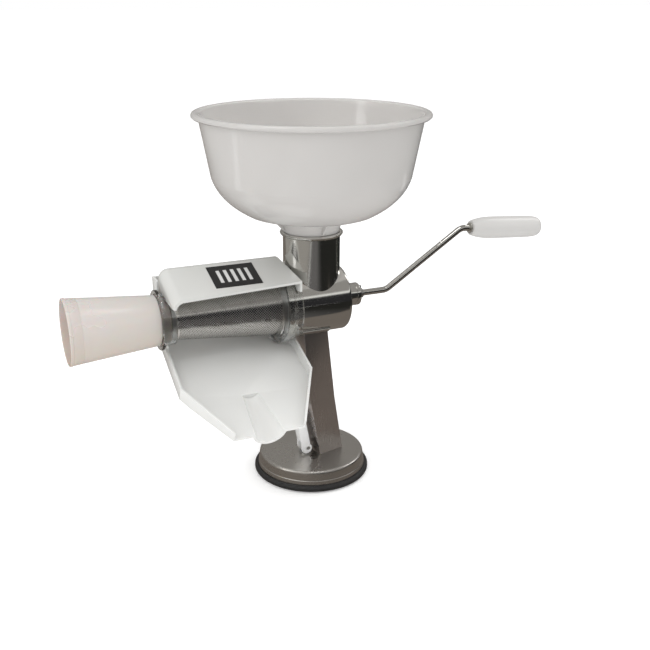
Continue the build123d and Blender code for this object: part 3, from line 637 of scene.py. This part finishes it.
# %% [markdown]
# ## The perforated cone
# The strainer is thin sheet with staggered holes. A grid is rolled into a cone, every cell is poked
# and its triangles are paired again across the old edges, which turns the squares into diamonds in
# staggered rows. Each diamond is inset and its middle deleted, and the sheet gets its thickness.
# Its inner face and the walls of its holes take a near-black finish: painted shade for the inside of the
# cone.

# %% Screen
cone = Box("screen")
large_r = (cone.y1 - cone.y0) / 2
small_r = 20.65
HOLES_AROUND = 70
HOLES_ALONG = 45
HOLE_INSET = 0.30
SHEET = 0.45
PLAIN_LARGE = 6.5
PLAIN_SMALL = 5.5


def cone_radius(x):
    share = (x - cone.x1) / (cone.x0 - cone.x1)
    return large_r + share * (small_r - large_r)


deselect()
bpy.ops.mesh.primitive_grid_add(x_subdivisions=HOLES_AROUND, y_subdivisions=HOLES_ALONG, size=2)
screen = bpy.context.active_object
screen.name = "perforated_cone"
for vertex in screen.data.vertices:
    turn = vertex.co.x * pi
    x = cone.x1 + (vertex.co.y + 1) / 2 * (cone.x0 - cone.x1)
    radius = cone_radius(x) - 0.02
    vertex.co = Vector((x, radius * sin(turn), axis_z + radius * cos(turn))) * MM
tidy_mesh(screen)
bpy.ops.object.mode_set(mode="EDIT")
bpy.ops.mesh.select_mode(type="FACE")
bpy.ops.mesh.select_all(action="SELECT")
bpy.ops.mesh.poke()
bpy.ops.mesh.select_all(action="SELECT")
bpy.ops.mesh.tris_convert_to_quads(face_threshold=radians(60), shape_threshold=radians(60))
bpy.ops.mesh.select_all(action="DESELECT")
bpy.ops.object.mode_set(mode="OBJECT")
edge_x0, edge_x1 = (cone.x0 + PLAIN_LARGE) * MM, (cone.x1 - PLAIN_SMALL) * MM
for face in screen.data.polygons:
    face.select = len(face.vertices) == 4 and edge_x0 < face.center.x < edge_x1
bpy.ops.object.mode_set(mode="EDIT")
bpy.ops.mesh.inset(thickness=HOLE_INSET * MM, use_individual=True)
bpy.ops.mesh.delete(type="FACE")
bpy.ops.mesh.select_all(action="SELECT")
bpy.ops.mesh.normals_make_consistent(inside=False)
bpy.ops.object.mode_set(mode="OBJECT")
screen.data.materials.append(finishes["perforated_steel"])
# second finish for the inner face and hole walls: painted shade inside the cone
screen.data.materials.append(finishes["perforated_inside_shade"])
apply_modifier(screen, "SOLIDIFY", thickness=SHEET * MM, offset=-1.0, material_offset=1,
               material_offset_rim=1)
bpy.ops.object.shade_smooth_by_angle(angle=radians(40))
settle(screen, "screen")
print("screen triangles", sum(len(f.vertices) - 2 for f in screen.data.polygons))


# %% [markdown]
# ## Clear rings
# The lock ring joins the cone to the body and the end ring carries the funnel. Both are thick clear
# mouldings: the lock ring keeps the solid's slots, the end ring is turned with its inner step.

# %% Rings
settle(softened("lock_ring", "screen_flange", 0.6, 3), "screen_flange")
end = Box("screen_end_ring")
flange_r = (end.y1 - end.y0) / 2
hub_r = 25.2
hub_x = end.x1 - 11.5
bore_r = 21.55
socket_r = 23.0
step_x = end.x1 - 5
end_ring = along_auger("end_ring", rounded([
    (end.x1, bore_r, 0.3), (end.x1, hub_r, 0.9), (hub_x, hub_r, 0.8), (hub_x, flange_r, 0.7),
    (end.x0, flange_r, 0.9), (end.x0, socket_r, 0.5), (step_x, socket_r, 0.2),
    (step_x, bore_r, 0.3)], segments=5))
settle(end_ring, "screen_end_ring")

# %% [markdown]
# ## Waste funnel
# A soft milky cone with a thin wall. Two faint rings near its mouth come from the mould, and its
# spigot slides into the end ring.

# %% Funnel
funnel_box = Box("waste_funnel")
mouth_r = (funnel_box.y1 - funnel_box.y0) / 2
neck = 24.6
plug_r = 22.7
skin = 1.8
shoulder = end.x0 - 0.3
length = shoulder - funnel_box.x0


def funnel_r(x):
    return neck + (shoulder - x) / length * (mouth_r - 0.15 - neck)


mouth = funnel_box.x0
section = [(funnel_box.x1, plug_r - skin, 0.3), (funnel_box.x1, plug_r, 0.5), (shoulder, plug_r, 0.2),
           (shoulder, neck, 0.8), (mouth + 13, funnel_r(mouth + 13)),
           (mouth + 12.4, funnel_r(mouth + 12.4) - 0.35),
           (mouth + 11.8, funnel_r(mouth + 11.8)), (mouth + 3.2, funnel_r(mouth + 3.2)),
           (mouth + 2.8, mouth_r - 0.05, 0.2), (mouth, mouth_r, 0.8), (mouth, mouth_r - skin - 0.2, 0.6),
           (shoulder - skin, plug_r - skin)]
settle(along_auger("funnel_cone", rounded(section)), "waste_funnel")


# %% [markdown]
# ## Tray and cover
# The tray and the splash cover are folded shapes with flat faces. Their solids are softened with a
# radius of a moulded edge.

# %% Tray, cover and badge
settle(softened("juice_tray", "juice_chute", 0.7, 3, 25), "juice_chute")
settle(softened("splash_cover", "splash_guard", 0.8, 4, 25), "splash_guard")

# %% [markdown]
# ### Panel on the cover
# The printed panel is a thin plate lying on the sloping top. Its lettering is left out: five plain
# pale bars stand in for it, so the panel keeps its contrast without carrying a name.

# %% Panel
def bar(width, depth, height, x, z):
    deselect()
    bpy.ops.mesh.primitive_cube_add(size=1, location=(x * MM, 0, z * MM))
    piece = bpy.context.active_object
    piece.scale = (width * MM, depth * MM, height * MM)
    bpy.ops.object.transform_apply(location=True, rotation=True, scale=True)
    return piece


panel_node = nodes["guard_badge"]
panel_face = max((f for f in panel_node.data.polygons if f.normal.z > 0.8), key=lambda f: f.area)
tilt = atan2(-panel_face.normal.y, panel_face.normal.z)
panel_box = Box("guard_badge")
panel_width = panel_box.x1 - panel_box.x0
panel_depth = (panel_box.y1 - panel_box.y0 - 0.4 * sin(abs(tilt))) / cos(tilt)
panel = bar(panel_width, panel_depth, 0.3, 0, -0.05)
apply_modifier(panel, "BEVEL", width=0.12 * MM, segments=2)
panel.data.materials.append(finishes["badge_print"])
marks = []
for place in range(-2, 3):
    mark = bar(3.4, panel_depth * 0.56, 0.2, place * 7.2, 0.08)
    mark.data.materials.append(finishes["badge_border"])
    marks.append(mark)
deselect()
for mark in marks:
    mark.select_set(True)
panel.select_set(True)
bpy.context.view_layer.objects.active = panel
bpy.ops.object.join()
panel.name = "cover_badge"
panel.rotation_euler = (tilt, 0, 0)
panel.location = Vector((panel_box.cx, panel_box.cy, panel_box.cz)) * MM
bpy.ops.object.transform_apply(location=True, rotation=True, scale=True)
settle(panel, "guard_badge")


# %% [markdown]
# ## Leg and foot
# The leg is a folded steel column. The base is a pressed cap with a rolled shoulder over a rubber
# sucker. Cap and rubber are turned, and the leg's solid is softened along its folds.

# %% Leg
settle(softened("leg_column", "leg", 1.2, 4), "leg")

# %% Base cap and rubber
cap = Box("base_cap")
cap_r = (cap.x1 - cap.x0) / 2
top_r = 55.8
flat_r = 52.4
cap_sheet = 1.6
stud_hole_r = 3.3
cap_profile = [(cap.z1 - 0.02, 0.0), (cap.z1, 44.0), (cap.z1, 52.2)]
cap_profile += arc((cap.z1, 52.6), (cap.z1 - 0.85, 54.9), (cap.z1 - 2.9, top_r), 6)
cap_profile += [(cap.z0 + 5.2, cap_r - 0.75), (cap.z0 + 4.6, cap_r - 1.1), (cap.z0 + 4.0, cap_r - 0.55),
                (cap.z0 + 1.4, cap_r - 0.1), (cap.z0 + 0.9, cap_r), (cap.z0, cap_r - 0.1),
                (cap.z0, cap_r - 1.5), (cap.z1 - 3.4, top_r - cap_sheet),
                (cap.z1 - cap_sheet, flat_r), (cap.z1 - cap_sheet, 0.0)]
base = turned("base_cap_shell", cap_profile, (0, 0, 0), steps=160)
stud = Box("pull_stud")
drill(base, stud_hole_r, (stud.cx, stud.cy, cap.z1 - 5), (stud.cx, stud.cy, cap.z1 + 5))
settle(base, "base_cap")

sucker = Box("suction_cup")
lip_r = (sucker.x1 - sucker.x0) / 2
under_cap_z = cap.z0 - 0.05
under_cap_r = 53.6
pocket_r = 30.0
pocket_z = 5.0
rubber_profile = rounded([
    (sucker.z0, 0.0), (sucker.z0, 58.2, 0.8), (sucker.z0 + 1.6, lip_r, 1.2), (sucker.z0 + 4.6, lip_r, 1.6),
    (under_cap_z, lip_r - 2.6, 0.6), (under_cap_z, under_cap_r), (sucker.z1, under_cap_r, 0.5),
    (sucker.z1, pocket_r, 0.5), (pocket_z, pocket_r), (pocket_z, 0.0)], closed=False)
settle(turned("suction_rubber", rubber_profile, (0, 0, 0), steps=160), "suction_cup")

# %% [markdown]
# ## Suction lever
# A faceted moulding with generous flats. Wide bevels on its long edges leave the facets.

# %% Lever
settle(softened("cam_lever", "suction_lever", 1.3, 2), "suction_lever")


# %% [markdown]
# ## Crank and grip
# The crank is one bent steel rod. A curve with a round section follows its straight runs and bends
# and becomes a mesh. The grip is turned about its own drooping axis.

# %% Crank rod
rod = Box("crank_rod")
grip_box = Box("grip")
joints = {joint["name"]: joint for joint in frame["joints"]}
spin = joints["grip_spin"]
grip_start = Vector(spin["pos_m"]) / MM
grip_axis = Vector(spin["axis"]).normalized()
rod_r = (rod.y1 - rod.y0) / 2
BEND_X = 86.0
BEND_R = 14.0
ELBOW_BEFORE_GRIP = 12.1
ROD_IN_GRIP = 74
elbow = grip_start - grip_axis * ELBOW_BEFORE_GRIP
path = [Vector((rod.x0, 0, axis_z)), Vector((BEND_X, 0, axis_z)), elbow,
        grip_start + grip_axis * ROD_IN_GRIP]


def bent_path(corners, radius, segments=14):
    points = [corners[0]]
    for before, here, after in zip(corners, corners[1:], corners[2:]):
        a, b = (before - here).normalized(), (after - here).normalized()
        reach = radius / tan(a.angle(b) / 2)
        middle = here + (a + b).normalized() * (radius / sin(a.angle(b) / 2))
        first, last = here + a * reach, here + b * reach
        sweep = (first - middle).angle(last - middle)
        for step in range(segments + 1):
            t = step / segments
            u = sin((1 - t) * sweep) / sin(sweep)
            v = sin(t * sweep) / sin(sweep)
            points.append(middle + (first - middle) * u + (last - middle) * v)
    points.append(corners[-1])
    return points


def rod_along(name, points, radius):
    deselect()
    curve = bpy.data.curves.new(name, "CURVE")
    curve.dimensions = "3D"
    curve.bevel_depth = radius * MM
    curve.bevel_resolution = 12
    curve.use_fill_caps = True
    spline = curve.splines.new("POLY")
    spline.points.add(len(points) - 1)
    for slot, point in zip(spline.points, points):
        slot.co = (*(point * MM), 1)
    piece = bpy.data.objects.new(name, curve)
    bpy.context.collection.objects.link(piece)
    piece.select_set(True)
    bpy.context.view_layer.objects.active = piece
    bpy.ops.object.convert(target="MESH")
    return tidy_mesh(bpy.context.active_object, 40)


settle(rod_along("crank_arm", bent_path(path, BEND_R), rod_r), "crank_rod")

# %% Grip
def on_grip(name, profile, steps=96):
    up = Vector((-grip_axis.z, 0, grip_axis.x))
    return turned(name, profile, grip_start, axis=grip_axis, out=up, steps=steps)


handle_r = (grip_box.y1 - grip_box.y0) / 2
grip_length = 88.0
end_r = 8.25
rod_hole_r = 3.36
ferrule_hole_r = 5.65
plug_hole_r = 6.0
plug_hole_start = 75.0
shape = [(0.0, ferrule_hole_r), (0.0, end_r - 1.0), (0.4, end_r - 0.3), (1.1, end_r)]
shape += arc((2.0, end_r + 0.2), (11.0, end_r + 2.35), (20.0, handle_r - 0.3), 10)
shape += arc((24.0, handle_r - 0.08), (44.0, handle_r), (66.0, handle_r - 0.1), 6)
shape += arc((72.0, handle_r - 0.25), (84.2, handle_r - 1.5), (87.6, 6.6), 10)
shape += [(grip_length, plug_hole_r), (plug_hole_start, plug_hole_r), (plug_hole_start, rod_hole_r),
          (6.0, rod_hole_r), (6.0, ferrule_hole_r), (0.0, ferrule_hole_r)]
settle(on_grip("hand_grip", shape), "grip")
ferrule_r = 5.6
collar = rounded([(-2.0, rod_hole_r, 0.2), (-2.0, ferrule_r, 0.5),
                  (5.9, ferrule_r, 0.2), (5.9, rod_hole_r, 0.2)])
settle(on_grip("grip_collar", collar), "grip_ferrule")
plug = [(77.0, 0.0), (77.0, 5.95), (87.6, 5.95), (88.0, 5.5), (88.2, 3.0), (88.25, 0.0)]
settle(on_grip("grip_end_plug", plug), "grip_plug")


# %% [markdown]
# ## Plate spring
# The spring stands on the lifting plate and pushes against the cap. Its solid is copied without a
# bevel and given a mesh of its own; the share of its height that the stud's travel would take is
# worked out but not applied, so it does not flatten.

# %% Plate spring copied from its solid
spring_box = Box("return_spring")
stud_travel = joints["stud_lift"]["range_m"][1] / MM
spring_coil = settle(softened("plate_spring", "return_spring", 0), "return_spring")
1 - stud_travel / (spring_box.z1 - spring_box.z0)
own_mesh(spring_coil)


# %% [markdown]
# ## Dressing every solid
# New pieces take the finish of their slot, and the small solids that stay, such as washers, pins,
# springs and the auger, get the same set of finishes in their own material slots.

# %% Finishes on pieces and solids
for piece, slot in finished:
    if piece.name in ("cover_badge", "perforated_cone"):
        continue
    piece.data.materials.clear()
    piece.data.materials.append(finishes[slot])
for name, node in nodes.items():
    for place in node.material_slots:
        place.material = finishes[slot_of_node[name]]
print("dressed", len(finished), "pieces and", len(nodes), "solids")


# %% [markdown]
# ## Stage, light and camera
# The floor is a pale sheet that runs far back and glows a little, like a backlit table. The white
# sky lights everything evenly and three soft lights add shape.

# %% Floor
def emission(name, build, strength=1.0):
    """A surface that only shines; build(finish) gives its colour."""
    finish = Finish(name, Roughness=1.0)
    finish.set("Base Color", tone(0, 0, 0))
    finish.shader.inputs["Specular IOR Level"].default_value = 0.0
    finish.set("Emission Color", build(finish))
    finish.shader.inputs["Emission Strength"].default_value = strength
    return finish.material


deselect()
bpy.ops.mesh.primitive_plane_add(size=60, location=(0, 0, -0.0002))
floor = bpy.context.active_object
floor.name = "floor"
floor_finish = Finish("floor", Roughness=0.9)
floor_finish.set("Base Color", floor_finish.blend(floor_finish.noise(3.0), tone(0.90, 0.90, 0.90),
                                                  tone(0.88, 0.88, 0.88)))
floor_finish.shader.inputs["Emission Color"].default_value = tone(1, 1, 1)
floor_finish.shader.inputs["Emission Strength"].default_value = 0.22
floor.data.materials.append(floor_finish.material)

# %% World
world = bpy.data.worlds.new("studio")
bpy.context.scene.world = world
world.use_nodes = True
world.node_tree.nodes["Background"].inputs["Color"].default_value = (1.0, 1.0, 1.0, 1.0)
world.node_tree.nodes["Background"].inputs["Strength"].default_value = 1.0

# %% [markdown]
# Polished steel shows whatever stands around it. A studio is dark behind the camera, warm grey on
# the table and bright overhead, so a dome and a table card carry those tones. Only mirror-like
# reflections see them: they throw no light and no shadow.

# %% Reflection dome and table card
def reflected_only(piece):
    piece.visible_camera = False
    piece.visible_diffuse = False
    piece.visible_volume_scatter = False
    piece.visible_shadow = False


def dome_tone(finish):
    """Dark in front and on the right, a bright strip overhead, warm grey to the left and behind."""
    x, y, z = finish.axis("X"), finish.axis("Y"), finish.axis("Z")
    left = finish.ramp(0 - x, 0.8, 2.2)
    behind = finish.ramp(y, 0.2, 1.6)
    low = finish.blend(left, tone(0.028, 0.028, 0.030), tone(0.34, 0.33, 0.305))
    low = finish.blend(behind, low, tone(0.27, 0.26, 0.245))
    strip = finish.ramp(z, 1.62, 1.80) * (1 - finish.ramp(z, 1.95, 2.25)) * finish.ramp(0 - y, 0.2, 1.0)
    high = finish.blend(finish.ramp(z, 1.7, 2.4), low, tone(0.34, 0.33, 0.315))
    return finish.blend(strip, high, tone(0.95, 0.95, 0.93))


def table_tone(finish):
    """Warm grey near the base, dark further out in front, light on the left with two bright strips."""
    x, y = finish.axis("X"), finish.axis("Y")
    slant = 0.2 * finish.ramp(x, 0.12, 0.34)
    near = finish.ramp(y + slant, -0.235, -0.225) * (1 - finish.ramp(x, 0.42, 0.60))
    near = near * finish.ramp(x, -0.55, -0.45)
    left = finish.ramp(0 - x, 0.40, 0.56)
    right = finish.ramp(x, -0.10, 0.28)
    far = finish.blend(right, tone(0.15, 0.145, 0.145), tone(0.022, 0.022, 0.020))
    far = finish.blend(left, far, tone(0.36, 0.345, 0.32))
    slanted = finish.ramp(0 - x, 0.385, 0.395) * (1 - finish.ramp(0 - x, 0.415, 0.43))
    side = finish.ramp(y, 0.20, 0.22) * (1 - finish.ramp(y, 0.29, 0.31)) * left
    far = finish.blend(slanted, far, tone(0.85, 0.85, 0.83))
    far = finish.blend(side, far, tone(1.4, 1.4, 1.38))
    grain = finish.blend(finish.noise(6.0), tone(0.205, 0.178, 0.155), tone(0.175, 0.155, 0.138))
    return finish.blend(near, far, grain)


deselect()
bpy.ops.mesh.primitive_uv_sphere_add(segments=48, ring_count=24, radius=4.0, location=(0, 0, 0))
dome = bpy.context.active_object
dome.name = "reflection_dome"
dome.data.materials.append(emission("dome", dome_tone))
reflected_only(dome)

deselect()
bpy.ops.mesh.primitive_plane_add(size=7.0, location=(0, 0, -0.0001))
table = bpy.context.active_object
table.name = "table_card"
table.data.materials.append(emission("table", table_tone))
reflected_only(table)


# %% Lights
def softbox(name, where, aim, width, height, power):
    deselect()
    bpy.ops.object.light_add(type="AREA", location=where)
    light = bpy.context.active_object
    light.name = name
    light.data.shape = "RECTANGLE"
    light.data.size, light.data.size_y = width, height
    light.data.energy = power
    light.rotation_euler = (Vector(aim) - Vector(where)).to_track_quat("-Z", "Y").to_euler()


middle = Vector((0.0, 0.0, 0.2))
softbox("key", (-1.2, -0.7, 1.5), middle, 0.6, 0.9, 4.0)
softbox("window", (-1.8, -0.25, 0.95), (0.05, 0.0, 0.36), 0.36, 0.5, 2.2)
softbox("bowl", (0.0, -0.01, 0.8), (0.0, 0.0, 0.3), 0.05, 0.05, 0.10)
bpy.context.active_object.data.spread = radians(28)
softbox("side", (1.3, 0.2, 1.2), middle, 0.4, 0.8, 3.0)
softbox("top", (-0.1, -0.35, 1.9), middle, 0.9, 0.5, 4.5)

# %% [markdown]
# The camera stands to the front and left, a little above the bowl, and looks down at the mill.

# %% Camera
camera_data = bpy.data.cameras.new("camera")
camera = bpy.data.objects.new("camera", camera_data)
bpy.context.collection.objects.link(camera)
camera_data.sensor_width = 36.0
camera_data.lens = 50.02
camera_data.shift_x = 0.0249
camera_data.clip_start = 0.01
camera.location = (-0.3457, -0.8079, 0.4854)
camera.rotation_euler = (radians(69.86), 0.0, radians(-23.0))
bpy.context.scene.camera = camera
bpy.context.scene.view_settings.view_transform = "Standard"
bpy.context.scene.view_settings.exposure = 0.0

# %% Clear the selection
deselect()
